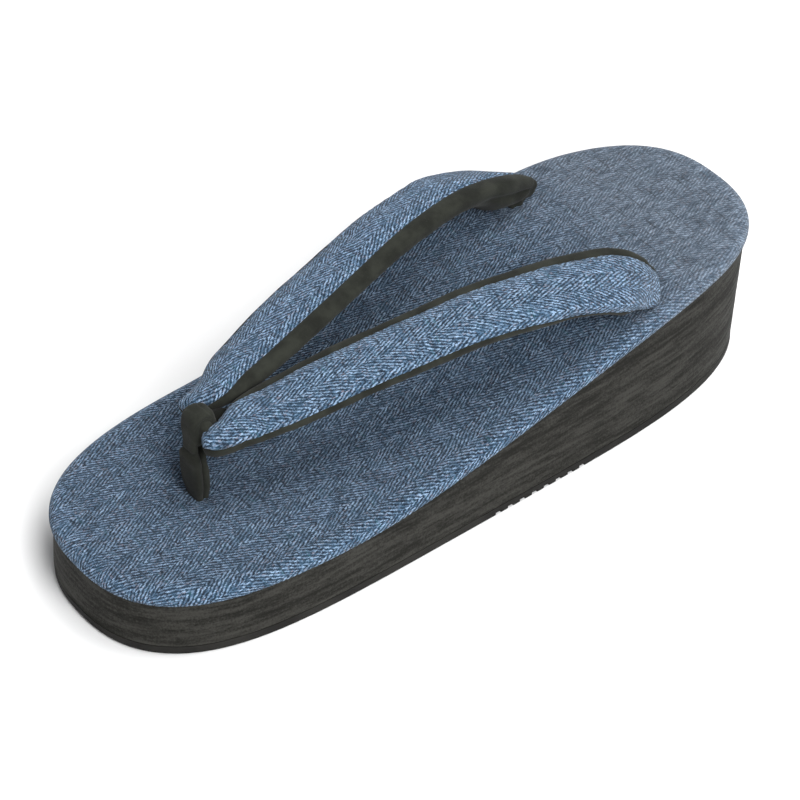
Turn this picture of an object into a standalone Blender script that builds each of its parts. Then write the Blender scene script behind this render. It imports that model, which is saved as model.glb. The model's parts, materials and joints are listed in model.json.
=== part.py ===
# Zori sandal: a wedge platform, a cloth-covered footbed and a padded thong strap.
# Metres, +Z up. The toe points to -Y, the heel to +Y, and the floor is z = 0.

import math

import bmesh
import bpy
from mathutils import Vector

# Length, width and height of the platform
LENGTH = 0.240
BALL_WIDTH = 0.0872
HEEL_WIDTH = 0.0858
TOE_EDGE = 0.0194
HEEL_EDGE = 0.0408

# The wedge climbs from the ball to the heel seat, as shares of the length from the middle
RAMP_START_SHARE = -0.225
RAMP_END_SHARE = 0.375

# Shape of the plan outline at each end: |x|^side + |y|^end = 1
TOE_END_POWER = 5.0
TOE_SIDE_POWER = 2.4
HEEL_END_POWER = 4.0
HEEL_SIDE_POWER = 2.5

# Layers
GAP = 0.0003
OUTSOLE_THICKNESS = 0.0030
FOOTBED_THICKNESS = 0.0046
FOOTBED_DOME = 0.0009
FOOTBED_ROLL = 0.0050
FOOTBED_TUCK = 0.0007
FOOTBED_OVERHANG = 0.0010

# Floor side
TOE_SPRING = 0.0006
SPRING_START = -0.085
HEEL_RAKE = 0.0045
TOE_FLARE = 0.0016
FLOOR_BEVEL = 0.0006
GROOVE_DEPTH = 0.0012
GROOVE_WIDTH = 0.0022
GROOVE_PITCH = 0.0055
WAIST_GROOVES = 8
WAIST_FIRST = -0.0002
WAIST_PITCH = 0.0046
FIELD_WIDTH = 0.052
THROUGH_WIDTH = 1.2 * BALL_WIDTH
FOREFOOT_GROOVES = 9
FOREFOOT_FIRST = -0.066
HEEL_GROOVES = 5
HEEL_FIRST = 0.068

# Padded strap; its seams are angles round the section, up from the chord at each edge
STRAP_TIP_Y = -0.0778
STRAP_REACH = 0.1451
STRAP_SPREAD = 0.0320
STRAP_RISE = 0.0310
STRAP_WIDTH = 0.0218
STRAP_CROWN = 0.0031
STRAP_BELLY = 0.0036
SECTION_POWER = 0.85
INNER_SEAM_DEGREES = 54.0
OUTER_SEAM_DEGREES = 17.0
LINING_THICKNESS = 0.0010
ROOT_CLEARANCE = 0.0002

# Where the strap's ends go down into the platform
ROOT_RADIUS = 0.0036
ROOT_DEPTH = 0.012
ROOT_TOP = 0.0025
ROOT_Y = STRAP_TIP_Y + 0.972 * STRAP_REACH
ROOT_X = 0.9375 * STRAP_SPREAD

# Toe thong: a band looped over the front of the strap
THONG_Y = -0.0776
THONG_WIDTH = 0.0070
THONG_THICKNESS = 0.0024
LOOP_TOP = 0.0312
LOOP_DEPTH = 0.0094
LOOP_HEIGHT = 0.0122
THONG_SIDES = 12
THONG_POWER = 0.75
CORE_LENGTH = 0.0130

# Mesh steps
OUTLINE_STEPS = 36
ARM_STEPS = 34
TOP_STEPS = 8
UNDER_STEPS = 14
SLOPE_STEP = 0.004
ROUND_STEPS = 20
SHARP_DEGREES = 40.0
ROLL_DEGREES = (0, 22, 45, 67, 90)
DOME_SHARES = (0.35, 0.7)

# One row per station of a strap arm, front tip to rear tip: share of the reach, share of the
# spread, share of the rise, share of the width, roll in degrees, share of the crown, and how
# far the left arm sags below the right one, as a share of the rise
ARM_COLUMNS = ("along", "side", "lift", "width", "roll", "crown", "sag")
ARM_ROWS = (
    (0.000, 0.183, 0.768, 0.19, 12.0, 0.60, 0.000),
    (0.015, 0.218, 0.774, 0.31, 13.0, 0.75, 0.000),
    (0.050, 0.255, 0.800, 0.43, 14.0, 0.88, 0.000),
    (0.095, 0.258, 0.835, 0.69, 12.0, 0.96, 0.000),
    (0.169, 0.325, 0.905, 0.90, 6.0, 1.00, 0.000),
    (0.337, 0.482, 0.992, 1.00, 4.0, 1.00, 0.000),
    (0.545, 0.682, 0.957, 1.00, 6.0, 1.00, 0.000),
    (0.743, 0.866, 0.764, 1.00, 10.0, 1.00, 0.010),
    (0.881, 0.953, 0.484, 1.01, 21.0, 1.00, 0.050),
    (0.941, 0.972, 0.310, 0.90, 33.0, 0.96, 0.085),
    (0.980, 0.973, 0.132, 0.74, 44.0, 0.88, 0.070),
    (1.000, 0.959, 0.045, 0.59, 50.0, 0.76, 0.045),
)

# The thong's legs, swelling where they go into the platform: height as a share of the
# loop's top, width and thickness as shares of the thong's
FRONT_LEG = (
    (0.00, 1.30, 1.55),
    (0.30, 1.30, 1.45),
    (0.45, 1.12, 1.20),
    (0.56, 0.90, 1.00),
    (0.68, 0.94, 1.00),
)
REAR_LEG = (
    (0.45, 1.05, 1.00),
    (0.30, 1.20, 1.20),
    (0.00, 1.25, 1.45),
)

# The loop round the strap's core, front to back: angle in degrees, width as a share
THONG_LOOP = (
    (180, 1.00),
    (155, 1.00),
    (130, 0.98),
    (105, 0.95),
    (80, 0.91),
    (55, 0.88),
    (30, 0.86),
    (5, 0.85),
    (-20, 0.85),
    (-45, 0.86),
    (-70, 0.88),
)


def clear_scene():
    for thing in list(bpy.data.objects):
        bpy.data.objects.remove(thing)


def new_collection(name):
    collection = bpy.data.collections.new(name)
    bpy.context.scene.collection.children.link(collection)
    return collection


def new_material(name, colour, roughness):
    material = bpy.data.materials.new(name)
    material.use_nodes = True
    surface = material.node_tree.nodes["Principled BSDF"]
    surface.inputs["Base Color"].default_value = (*colour, 1.0)
    surface.inputs["Roughness"].default_value = roughness
    surface.inputs["Metallic"].default_value = 0.0
    return material


def smooth_step(value):
    share = min(max(value, 0.0), 1.0)
    return share * share * (3.0 - 2.0 * share)


def edge_height(y):
    """Height of the line where the footbed meets the sole's side."""
    start = RAMP_START_SHARE * LENGTH
    run = (RAMP_END_SHARE - RAMP_START_SHARE) * LENGTH
    return TOE_EDGE + (HEEL_EDGE - TOE_EDGE) * smooth_step((y - start) / run)


def floor_height(y):
    """Underside of the outsole: flat, then curving up under the toe."""
    if y > SPRING_START:
        return 0.0
    share = (SPRING_START - y) / (SPRING_START + LENGTH / 2)
    return TOE_SPRING * share * share


def footbed_top(y):
    return edge_height(y) + FOOTBED_THICKNESS


def half_width(share, inset):
    """Half width of the plan at a share of the half length, -1 at the toe to 1 at the heel."""
    blend = smooth_step((share + 1.0) / 2.0)
    full = BALL_WIDTH / 2 + (HEEL_WIDTH - BALL_WIDTH) / 2 * blend - inset
    if share < 0.0:
        end, side = TOE_END_POWER, TOE_SIDE_POWER
    else:
        end, side = HEEL_END_POWER, HEEL_SIDE_POWER
    return full * max(1.0 - abs(share) ** end, 0.0) ** (1.0 / side)


def plan_ring(inset, height, rake=0.0, flare=0.0):
    """Closed outline, right side from toe to heel and back along the left side."""
    right = []
    left = []
    for step in range(OUTLINE_STEPS + 1):
        share = -math.cos(math.pi * step / OUTLINE_STEPS)
        x = half_width(share, inset)
        y = share * (LENGTH / 2 - inset)
        if share > 0.0:
            y -= rake * share ** 3
        else:
            y += flare * share ** 3
        z = height(y)
        right.append(Vector((x, y, z)))
        if 0 < step < OUTLINE_STEPS:
            left.append(Vector((-x, y, z)))
    return right + left[::-1]


def add_mesh(name, mesh_builder, collection, material):
    mesh = bpy.data.meshes.new(name)
    bmesh.ops.recalc_face_normals(mesh_builder, faces=mesh_builder.faces)
    mesh_builder.to_mesh(mesh)
    mesh_builder.free()
    mesh.materials.append(material)
    mesh.shade_smooth()
    mesh.set_sharp_from_angle(angle=math.radians(SHARP_DEGREES))
    thing = bpy.data.objects.new(name, mesh)
    collection.objects.link(thing)
    return thing


def stack_rings(rings):
    """Skin between plan rings, each end closed by strips from the right side to the left."""
    builder = bmesh.new()
    loops = [[builder.verts.new(point) for point in ring] for ring in rings]
    count = len(loops[0])
    for lower, upper in zip(loops, loops[1:]):
        for index in range(count):
            following = (index + 1) % count
            builder.faces.new((lower[index], lower[following], upper[following], upper[index]))
    for loop in (loops[0], loops[-1]):
        for step in range(OUTLINE_STEPS):
            corners = [loop[step], loop[step + 1]]
            for index in (count - step - 1, (count - step) % count):
                if loop[index] not in corners:
                    corners.append(loop[index])
            builder.faces.new(corners)
    return builder


def skin_sections(sections):
    """Skin between sections of equal count, closed with a face at each end."""
    builder = bmesh.new()
    loops = [[builder.verts.new(point) for point in section] for section in sections]
    count = len(loops[0])
    for first, second in zip(loops, loops[1:]):
        for index in range(count):
            following = (index + 1) % count
            builder.faces.new((first[index], first[following], second[following], second[index]))
    builder.faces.new(loops[0])
    builder.faces.new(loops[-1])
    return builder


def combine(target, tool, operation):
    modifier = target.modifiers.new(operation.lower(), "BOOLEAN")
    modifier.operation = operation
    modifier.object = tool
    tool.hide_render = True
    tool.display_type = "WIRE"


def follow(rows, position):
    """Smooth values of a table's columns at a position in its first column."""
    index = 0
    while index < len(rows) - 2 and position > rows[index + 1][0]:
        index += 1
    start, end = rows[index], rows[index + 1]
    before = rows[max(index - 1, 0)]
    after = rows[min(index + 2, len(rows) - 1)]
    span = end[0] - start[0]
    t = (position - start[0]) / span
    values = []
    for column in range(1, len(start)):
        step = (end[column] - start[column]) / span
        slope_in = blend_slope(before, start, column, step)
        slope_out = blend_slope(end, after, column, step)
        values.append(
            (2 * t**3 - 3 * t**2 + 1) * start[column]
            + (t**3 - 2 * t**2 + t) * span * slope_in
            + (3 * t**2 - 2 * t**3) * end[column]
            + (t**3 - t**2) * span * slope_out
        )
    return values


def blend_slope(first, second, column, step):
    """Slope shared by two neighbouring spans, level at a peak."""
    if first is second:
        return step
    other = (second[column] - first[column]) / (second[0] - first[0])
    if other * step <= 0.0:
        return 0.0
    return 2.0 * other * step / (other + step)


def arm_station(share, side):
    """Centre, width, roll and crown of a strap arm, side 1 on the right and -1 on the left."""
    values = dict(zip(ARM_COLUMNS[1:], follow(ARM_ROWS, share)))
    y = STRAP_TIP_Y + share * STRAP_REACH
    lift = values["lift"]
    if side < 0:
        lift -= values["sag"]
    centre = Vector((values["side"] * STRAP_SPREAD, y, footbed_top(y) + lift * STRAP_RISE))
    return centre, values["width"] * STRAP_WIDTH, values["roll"], values["crown"] * STRAP_CROWN


def oval_point(width, crown, belly, angle, inset):
    """Point of the padded section, with the crown above its chord and the belly below."""
    across = (width / 2 - inset) * math.cos(angle)
    rise = abs(math.sin(angle)) ** SECTION_POWER
    if math.sin(angle) >= 0.0:
        return across, (crown - inset) * rise
    return across, -(belly - inset) * rise


def arm_share(step):
    return 0.5 - 0.5 * math.cos(math.pi * step / ARM_STEPS)


def arm_section(share, side, profile, overrun=0.0):
    """A section's points in space, square to the arm, from a profile of (across, up)."""
    centre, width, roll, crown = arm_station(share, side)
    ahead = arm_station(min(share + SLOPE_STEP, 1.0), side)[0]
    behind = arm_station(max(share - SLOPE_STEP, 0.0), side)[0]
    tangent = (ahead - behind).normalized()
    level = tangent.cross(Vector((0.0, 0.0, 1.0))).normalized()
    up = level.cross(tangent)
    turn = math.radians(roll)
    outward = level * math.cos(turn) - up * math.sin(turn)
    normal = up * math.cos(turn) + level * math.sin(turn)
    points = []
    for across, rise in profile(width, crown):
        point = centre + tangent * overrun + outward * across + normal * rise
        points.append(Vector((point.x * side, point.y, point.z)))
    return points


def seam_angle(width, crown, degrees, shift):
    """Angle of a seam round the section, moved up its arc by a length."""
    angle = math.radians(degrees)
    rate = math.hypot(width / 2 * math.sin(angle), crown * math.cos(angle))
    return angle + shift / rate


def strap_profile(width, crown, grow=0.0):
    """Cloth top: the full oval between the seams, set in by the lining round the rest."""
    shift = GAP / 2 - grow
    start = seam_angle(width, crown, OUTER_SEAM_DEGREES, shift)
    end = math.pi - seam_angle(width, crown, INNER_SEAM_DEGREES, shift)
    under = LINING_THICKNESS + GAP - grow
    points = []
    for step in range(TOP_STEPS + 1):
        angle = start + (end - start) * step / TOP_STEPS
        points.append(oval_point(width, crown, STRAP_BELLY, angle, -grow))
    for step in range(UNDER_STEPS + 1):
        angle = end + (start + 2 * math.pi - end) * step / UNDER_STEPS
        points.append(oval_point(width, crown, STRAP_BELLY, angle, under))
    return points


def lining_profile(width, crown):
    """Suede lining: a thin shell from the seam on the inner edge, underneath, to the outer."""
    start = math.pi - seam_angle(width, crown, INNER_SEAM_DEGREES, -GAP / 2)
    end = 2 * math.pi + seam_angle(width, crown, OUTER_SEAM_DEGREES, -GAP / 2)
    outer = []
    inner = []
    for step in range(UNDER_STEPS + 1):
        angle = start + (end - start) * step / UNDER_STEPS
        outer.append(oval_point(width, crown, STRAP_BELLY, angle, 0.0))
        inner.append(oval_point(width, crown, STRAP_BELLY, angle, LINING_THICKNESS))
    return outer + inner[::-1]


def make_arm(name, side, profile, collection, material, overrun=0.0):
    """A strap arm's skin; a tool for cutting runs a little past its tips."""
    sections = [arm_section(arm_share(step), side, profile) for step in range(ARM_STEPS + 1)]
    if overrun > 0.0:
        sections[0] = arm_section(0.0, side, profile, -overrun)
        sections[-1] = arm_section(1.0, side, profile, overrun)
    return add_mesh(name, skin_sections(sections), collection, material)


def make_cylinder(name, radius, bottom, top, place, collection, material):
    builder = bmesh.new()
    bmesh.ops.create_cone(
        builder,
        cap_ends=True,
        segments=ROUND_STEPS,
        radius1=radius,
        radius2=radius,
        depth=top - bottom,
    )
    bmesh.ops.translate(builder, vec=(place[0], place[1], (top + bottom) / 2), verts=builder.verts)
    return add_mesh(name, builder, collection, material)


def make_box(name, size, centre, collection, material):
    builder = bmesh.new()
    bmesh.ops.create_cube(builder, size=1.0)
    bmesh.ops.scale(builder, vec=size, verts=builder.verts)
    bmesh.ops.translate(builder, vec=centre, verts=builder.verts)
    return add_mesh(name, builder, collection, material)


def leg_offset(thickness):
    """Distance of a leg's middle from the thong's, both legs' inner faces a gap apart."""
    return (THONG_THICKNESS * thickness + GAP) / 2


# Tool for the front hole, which takes both legs of the thong
def make_front_hole(collection, material):
    front = THONG_THICKNESS * FRONT_LEG[0][2]
    rear = THONG_THICKNESS * REAR_LEG[-1][2]
    size = (
        THONG_WIDTH * max(FRONT_LEG[0][1], REAR_LEG[-1][1]) + 2 * GAP,
        front + rear + 3 * GAP,
        2 * ROOT_DEPTH + 2 * GAP,
    )
    middle = THONG_Y + (rear - front) / 2
    return make_box("front_hole", size, (0.0, middle, footbed_top(THONG_Y)), collection, material)


# Tools for the two rear holes
def make_rear_holes(collection, material):
    holes = []
    for label, side in (("right", 1), ("left", -1)):
        top = footbed_top(ROOT_Y)
        holes.append(make_cylinder(
            "rear_hole_" + label,
            ROOT_RADIUS + GAP,
            top - ROOT_DEPTH - GAP,
            top + ROOT_DEPTH,
            (side * ROOT_X, ROOT_Y),
            collection,
            material,
        ))
    return holes


# Tool that keeps the strap's ends just off the footbed
def make_footbed_room(collection, material):
    margin = -FOOTBED_ROLL
    rings = [
        plan_ring(margin, lambda y: 0.0),
        plan_ring(margin, lambda y: footbed_top(y) + GAP),
    ]
    return add_mesh("footbed_room", stack_rings(rings), collection, material)


# Rubber outsole with through grooves at the waist and short ones under ball and heel
def make_outsole(parts, tools):
    material = new_material("outsole_rubber", (0.030, 0.028, 0.027), 0.75)
    side = FOOTBED_OVERHANG
    rings = [
        plan_ring(side + FLOOR_BEVEL, floor_height, HEEL_RAKE, TOE_FLARE),
        plan_ring(side, lambda y: floor_height(y) + FLOOR_BEVEL, HEEL_RAKE, TOE_FLARE),
        plan_ring(side, lambda y: floor_height(y) + OUTSOLE_THICKNESS, HEEL_RAKE, TOE_FLARE),
    ]
    outsole = add_mesh("outsole", stack_rings(rings), parts, material)
    fields = (
        ("waist", WAIST_FIRST, WAIST_GROOVES, WAIST_PITCH, THROUGH_WIDTH),
        ("ball", FOREFOOT_FIRST, FOREFOOT_GROOVES, GROOVE_PITCH, FIELD_WIDTH),
        ("heel", HEEL_FIRST, HEEL_GROOVES, GROOVE_PITCH, FIELD_WIDTH),
    )
    for label, first, count, pitch, width in fields:
        for index in range(count):
            place = (0.0, first + index * pitch, 0.0)
            size = (width, GROOVE_WIDTH, 2 * GROOVE_DEPTH)
            groove = make_box(f"groove_{label}_{index}", size, place, tools, material)
            combine(outsole, groove, "DIFFERENCE")
    return outsole


# Foam platform
def make_sole(parts, holes):
    material = new_material("sole_foam", (0.035, 0.031, 0.029), 0.6)
    side = FOOTBED_OVERHANG
    rings = [
        plan_ring(side, lambda y: floor_height(y) + OUTSOLE_THICKNESS + GAP, HEEL_RAKE, TOE_FLARE),
        plan_ring(side, lambda y: edge_height(y) - GAP),
    ]
    sole = add_mesh("sole", stack_rings(rings), parts, material)
    for hole in holes:
        combine(sole, hole, "DIFFERENCE")
    return sole


# Padded footbed, its cloth rolled over the edge
def make_footbed(parts, holes):
    material = new_material("footbed_cloth", (0.085, 0.125, 0.21), 0.9)
    rings = [plan_ring(FOOTBED_TUCK, edge_height)]
    for degrees in ROLL_DEGREES:
        angle = math.radians(degrees)
        inset = FOOTBED_ROLL * (1.0 - math.cos(angle))
        rise = FOOTBED_TUCK + (FOOTBED_THICKNESS - FOOTBED_DOME - FOOTBED_TUCK) * math.sin(angle)
        rings.append(plan_ring(inset, lambda y, rise=rise: edge_height(y) + rise))
    for share in DOME_SHARES:
        inset = FOOTBED_ROLL + share * (BALL_WIDTH / 2 - FOOTBED_ROLL)
        rise = FOOTBED_THICKNESS - FOOTBED_DOME * (1.0 - math.sin(share * math.pi / 2))
        rings.append(plan_ring(inset, lambda y, rise=rise: edge_height(y) + rise))
    footbed = add_mesh("footbed", stack_rings(rings), parts, material)
    for hole in holes:
        combine(footbed, hole, "DIFFERENCE")
    return footbed


def make_core(name, grow, collection, material):
    """Rounded bar across the front of the strap, inside the thong's loop."""
    builder = bmesh.new()
    bmesh.ops.create_cone(
        builder,
        cap_ends=True,
        segments=ROUND_STEPS,
        radius1=1.0,
        radius2=1.0,
        depth=CORE_LENGTH + 2 * grow,
    )
    half_depth = LOOP_DEPTH / 2 - THONG_THICKNESS - GAP + grow
    half_height = LOOP_HEIGHT / 2 - THONG_THICKNESS - GAP + grow
    bmesh.ops.scale(builder, vec=(half_height, half_depth, 1.0), verts=builder.verts)
    for vert in builder.verts:
        x, y, z = vert.co
        vert.co = (z, y, -x)
    centre = (0.0, loop_centre(), core_height())
    bmesh.ops.translate(builder, vec=centre, verts=builder.verts)
    return add_mesh(name, builder, collection, material)


# Cloth strap: two padded arms joined by a core that passes through the thong's loop
def make_strap(parts, tools, footbed_room):
    material = new_material("strap_cloth", (0.12, 0.18, 0.30), 0.9)
    strap = make_arm("strap", 1, strap_profile, parts, material)
    other = make_arm("strap_other_arm", -1, strap_profile, tools, material)
    core = make_core("strap_core", 0.0, tools, material)
    combine(strap, core, "UNION")
    combine(strap, other, "UNION")
    combine(strap, footbed_room, "DIFFERENCE")
    return strap


def loop_centre():
    """The loop rises straight from the front leg, so its front face is the leg's."""
    return THONG_Y - GAP / 2 - THONG_THICKNESS + LOOP_DEPTH / 2


def core_height():
    return footbed_top(THONG_Y) + LOOP_TOP - LOOP_HEIGHT / 2


# Suede lining under each arm, with the end that goes down into the platform
def make_linings(parts, tools, footbed_room):
    material = new_material("lining_suede", (0.030, 0.028, 0.026), 0.85)
    floor = footbed_top(ROOT_Y) - ROOT_DEPTH
    core_room = make_core("core_room", GAP, tools, material)
    for label, side in (("right", 1), ("left", -1)):
        lining = make_arm("strap_lining_" + label, side, lining_profile, parts, material)
        root = make_cylinder(
            "root_" + label,
            ROOT_RADIUS,
            floor,
            footbed_top(ROOT_Y) + ROOT_TOP,
            (side * ROOT_X, ROOT_Y),
            tools,
            material,
        )
        clear = make_arm(
            "strap_room_" + label,
            side,
            lambda width, crown: strap_profile(width, crown, ROOT_CLEARANCE),
            tools,
            material,
            GAP,
        )
        combine(lining, footbed_room, "DIFFERENCE")
        combine(lining, root, "UNION")
        combine(lining, clear, "DIFFERENCE")
        combine(lining, core_room, "DIFFERENCE")


# Toe thong: a suede band over the strap's core, both legs down the front hole
def make_toe_post(parts):
    material = new_material("thong_suede", (0.032, 0.029, 0.027), 0.85)
    base = footbed_top(THONG_Y)
    front_foot = FRONT_LEG[0]
    rear_foot = REAR_LEG[-1]
    path = [(THONG_Y - leg_offset(front_foot[2]), base - ROOT_DEPTH, front_foot[1], front_foot[2])]
    for height, width, thickness in FRONT_LEG:
        path.append((THONG_Y - leg_offset(thickness), base + height * LOOP_TOP, width, thickness))
    for degrees, width in THONG_LOOP:
        angle = math.radians(degrees)
        y = loop_centre() + (LOOP_DEPTH - THONG_THICKNESS) / 2 * math.cos(angle)
        z = core_height() + (LOOP_HEIGHT - THONG_THICKNESS) / 2 * math.sin(angle)
        path.append((y, z, width, 1.0))
    for height, width, thickness in REAR_LEG:
        path.append((THONG_Y + leg_offset(thickness), base + height * LOOP_TOP, width, thickness))
    path.append((THONG_Y + leg_offset(rear_foot[2]), base - ROOT_DEPTH, rear_foot[1], rear_foot[2]))
    sections = []
    for index, (y, z, width, thickness) in enumerate(path):
        before = path[max(index - 1, 0)]
        after = path[min(index + 1, len(path) - 1)]
        run = Vector((0.0, after[0] - before[0], after[1] - before[1])).normalized()
        outward = Vector((0.0, -run.z, run.y))
        section = []
        for step in range(THONG_SIDES):
            angle = 2 * math.pi * step / THONG_SIDES
            across = rounded(math.cos(angle)) * THONG_WIDTH * width / 2
            rise = rounded(math.sin(angle)) * THONG_THICKNESS * thickness / 2
            section.append(Vector((across, y, z)) + outward * rise)
        sections.append(section)
    return add_mesh("toe_post", skin_sections(sections), parts, material)


def rounded(value):
    """Sine or cosine of a section between an oval and a box."""
    return math.copysign(abs(value) ** THONG_POWER, value)


clear_scene()
sandal = new_collection("zori_sandal")
cutters = new_collection("cutters")
cutter_material = new_material("cutter", (0.5, 0.5, 0.5), 0.5)
front_hole = make_front_hole(cutters, cutter_material)
rear_holes = make_rear_holes(cutters, cutter_material)
for hole_tool in (front_hole, *rear_holes):
    hole_tool.hide_render = True
    hole_tool.display_type = "WIRE"
room = make_footbed_room(cutters, cutter_material)
make_outsole(sandal, cutters)
make_sole(sandal, (front_hole, *rear_holes))
make_footbed(sandal, (front_hole, *rear_holes))
make_strap(sandal, cutters, room)
make_linings(sandal, cutters, room)
make_toe_post(sandal)
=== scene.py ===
import json
import math

import bmesh
import bpy
from mathutils import Matrix, Vector, noise

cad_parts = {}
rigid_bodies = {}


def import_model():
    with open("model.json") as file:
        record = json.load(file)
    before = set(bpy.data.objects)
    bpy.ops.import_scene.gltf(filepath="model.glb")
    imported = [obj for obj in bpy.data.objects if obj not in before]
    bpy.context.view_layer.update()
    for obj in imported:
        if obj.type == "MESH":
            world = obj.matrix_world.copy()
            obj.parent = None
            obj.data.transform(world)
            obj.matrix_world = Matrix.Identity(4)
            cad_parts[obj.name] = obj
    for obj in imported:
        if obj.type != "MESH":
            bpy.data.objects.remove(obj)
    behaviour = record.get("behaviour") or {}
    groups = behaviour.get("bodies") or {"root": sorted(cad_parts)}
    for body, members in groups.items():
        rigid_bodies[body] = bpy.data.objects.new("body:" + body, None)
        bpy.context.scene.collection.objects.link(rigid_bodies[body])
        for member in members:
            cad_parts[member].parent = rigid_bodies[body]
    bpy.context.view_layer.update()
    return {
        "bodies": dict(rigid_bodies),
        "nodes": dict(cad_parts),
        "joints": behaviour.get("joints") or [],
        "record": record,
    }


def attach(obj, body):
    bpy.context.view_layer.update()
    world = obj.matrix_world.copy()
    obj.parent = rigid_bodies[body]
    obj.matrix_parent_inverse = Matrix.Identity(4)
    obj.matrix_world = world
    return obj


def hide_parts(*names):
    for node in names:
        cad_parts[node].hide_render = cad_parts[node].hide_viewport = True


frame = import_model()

# Camera: looks down over the inner side of the toe end, as a picture for a shop does.
# Its angles, distance and shift come from fitting the platform's and strap's outlines.
VIEW_AZIMUTH = math.radians(53.404)
VIEW_ELEVATION = math.radians(43.03)
VIEW_ROLL = math.radians(-1.37)
VIEW_DISTANCE = 1.0054
VIEW_LENS = 148.97
VIEW_SENSOR = 36.0
VIEW_SHIFT = (-0.0156, 0.0474)


def toward(azimuth, elevation):
    """Direction from the sandal toward an eye or a lamp, from angles in radians."""
    return Vector((
        math.sin(azimuth) * math.cos(elevation),
        -math.cos(azimuth) * math.cos(elevation),
        math.sin(elevation),
    ))


camera_data = bpy.data.cameras.new("camera")
camera_data.lens = VIEW_LENS
camera_data.sensor_width = VIEW_SENSOR
camera_data.shift_x, camera_data.shift_y = VIEW_SHIFT
camera = bpy.data.objects.new("camera", camera_data)
bpy.context.scene.collection.objects.link(camera)
bpy.context.scene.camera = camera
view_back = toward(VIEW_AZIMUTH, VIEW_ELEVATION)
view_level = Vector((0.0, 0.0, 1.0)).cross(view_back).normalized()
view_up = view_back.cross(view_level)
view_right = view_level * math.cos(VIEW_ROLL) + view_up * math.sin(VIEW_ROLL)
view_up = view_back.cross(view_right)
camera.matrix_world = Matrix((
    (view_right.x, view_up.x, view_back.x, view_back.x * VIEW_DISTANCE),
    (view_right.y, view_up.y, view_back.y, view_back.y * VIEW_DISTANCE),
    (view_right.z, view_up.z, view_back.z, view_back.z * VIEW_DISTANCE),
    (0.0, 0.0, 0.0, 1.0),
))

# Outsole: a plate of black rubber glued under the whole platform, moulded in one piece.
# Its grooves run through at the waist, where they show as teeth, and are short elsewhere.
LENGTH = 0.240
BALL_WIDTH = 0.0872
HEEL_WIDTH = 0.0858
TOE_POWERS = (5.0, 2.4)
HEEL_POWERS = (4.0, 2.5)
GAP = 0.0003
OUTSOLE_THICKNESS = 0.0030
OVERHANG = 0.0010
TOE_SPRING = 0.0006
SPRING_START = -0.085
HEEL_RAKE = 0.0045
TOE_FLARE = 0.0016
FLOOR_BEVEL = 0.0006
GROOVE_DEPTH = 0.0012
GROOVE_WIDTH = 0.0022
WHOLE_WIDTH = BALL_WIDTH * 1.2
SHORT_GROOVE = 0.052
TREAD_COLUMNS = ("first", "count", "pitch", "width")
TREAD_FIELDS = (
    (-0.0002, 8, 0.0046, WHOLE_WIDTH),
    (-0.0660, 9, 0.0055, SHORT_GROOVE),
    (0.0680, 5, 0.0055, SHORT_GROOVE),
)
OUTSOLE_PROFILE = (
    (FLOOR_BEVEL, 0.0),
    (FLOOR_BEVEL * 0.3, FLOOR_BEVEL * 0.3),
    (0.0, FLOOR_BEVEL),
    (0.0, OUTSOLE_THICKNESS),
)
OUTSOLE_CREASE = math.radians(35.0)
RUBBER_BLACK = (0.0125, 0.0120, 0.0110)
RUBBER_DUST = (0.0250, 0.0240, 0.0215)
OUTLINE_STEPS = 150
MILLIMETRES = 1000.0
BODY = "root"


def half_width(share, inset):
    """Half width of the plan at a share of the half length, -1 at the toe to 1 at the heel."""
    middle = (share + 1.0) / 2.0
    blend = middle * middle * (3.0 - 2.0 * middle)
    full = BALL_WIDTH / 2 + (HEEL_WIDTH - BALL_WIDTH) / 2 * blend - inset
    end, side = TOE_POWERS if share < 0.0 else HEEL_POWERS
    return full * max(1.0 - abs(share) ** end, 0.0) ** (1.0 / side)


def plan_ring(inset, height, rake=0.0, flare=0.0):
    """Closed outline, right side from toe to heel and back along the left side."""
    right = []
    left = []
    for step in range(OUTLINE_STEPS + 1):
        share = -math.cos(math.pi * step / OUTLINE_STEPS)
        x = half_width(share, inset)
        y = share * (LENGTH / 2 - inset)
        y += flare * share ** 3 if share < 0.0 else -rake * share ** 3
        z = height(y)
        right.append(Vector((x, y, z)))
        if 0 < step < OUTLINE_STEPS:
            left.append(Vector((-x, y, z)))
    return right + left[::-1]


def floor_height(y):
    """Underside of the platform: flat, then curving up under the toe."""
    if y > SPRING_START:
        return 0.0
    share = (SPRING_START - y) / (SPRING_START + LENGTH / 2)
    return TOE_SPRING * share * share


def wall(build, loops):
    """Faces from each closed loop of vertices to the next."""
    count = len(loops[0])
    for lower, upper in zip(loops, loops[1:]):
        for step in range(count):
            after = (step + 1) % count
            build.faces.new((lower[step], lower[after], upper[after], upper[step]))


def stacked(name, rings, uvs=None):
    """Mesh skinned between plan rings, with strips from side to side across both ends."""
    build = bmesh.new()
    layer = build.loops.layers.uv.new("weave")
    loops = [[build.verts.new(point) for point in ring] for ring in rings]
    place = {}
    for index, loop in enumerate(loops):
        for step, vert in enumerate(loop):
            point = uvs[index][step] if uvs else (vert.co.x, vert.co.y)
            place[vert] = (point[0] * MILLIMETRES, point[1] * MILLIMETRES)
    wall(build, loops)
    count = len(loops[0])
    for loop in (loops[0], loops[-1]):
        for step in range(OUTLINE_STEPS):
            corners = [loop[step], loop[step + 1]]
            for index in (count - step - 1, (count - step) % count):
                if loop[index] not in corners:
                    corners.append(loop[index])
            build.faces.new(corners)
    for face in build.faces:
        for corner in face.loops:
            corner[layer].uv = place[corner.vert]
    return finished_mesh(name, build)


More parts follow.
